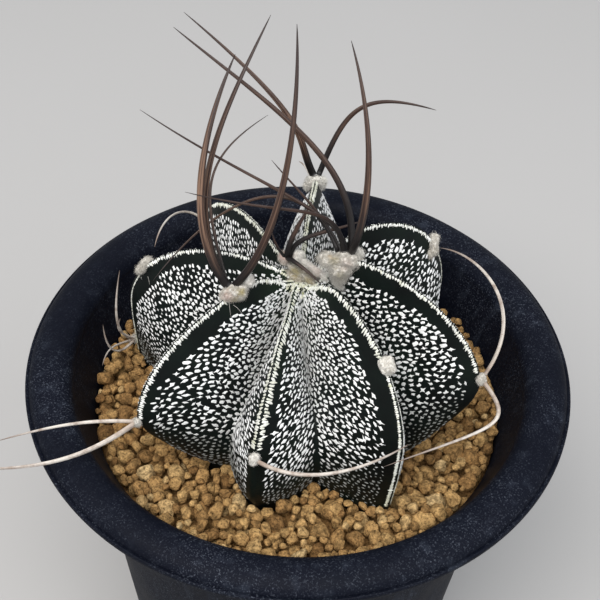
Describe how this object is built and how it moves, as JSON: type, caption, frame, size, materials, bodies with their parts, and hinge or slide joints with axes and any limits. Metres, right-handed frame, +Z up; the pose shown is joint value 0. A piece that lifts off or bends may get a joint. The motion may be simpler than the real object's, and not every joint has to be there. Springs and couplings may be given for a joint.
{
  "type": "potted bishops cap cactus",
  "caption": "Star-shaped ribbed cactus with white flecks, woolly areoles and long curved spines, in a round rimmed plastic pot filled with tan gravel.",
  "frame": {"origin": "middle of the pot's underside, on the surface that it stands on", "axes": "+Z up, the picture's front side towards -Y, +X to its right"},
  "size_m": [0.112, 0.105, 0.164],
  "materials": {
    "pot_plastic": "blue-black moulded plastic with a fine grain",
    "gravel": "dry golden-tan porous grains",
    "skin": "dark green waxy stem skin, standing in for living tissue",
    "flecks": "white felty flecks and scales",
    "wool": "cream wool tufts",
    "brown_spines": "dark brown horny spines",
    "old_spines": "weathered grey spines"
  },
  "bodies": {
    "root": {"pot": "pot_plastic", "gravel": "gravel", "stem": "skin", "wool_front_left": "wool", "wool_right": "wool", "wool_back": "wool", "wool_front_right": "wool", "wool_back_right": "wool", "wool_left": "wool", "wool_crown": "wool", "spines_front_left": "brown_spines", "spines_back": "brown_spines", "spines_right": "brown_spines", "spines_crown": "brown_spines", "old_spines_front": "old_spines", "old_spines_right": "old_spines", "old_spines_front_left": "old_spines", "old_spines_left": "old_spines", "old_spines_back_left": "old_spines", "old_spines_back": "old_spines"}
  },
  "joints": []
}
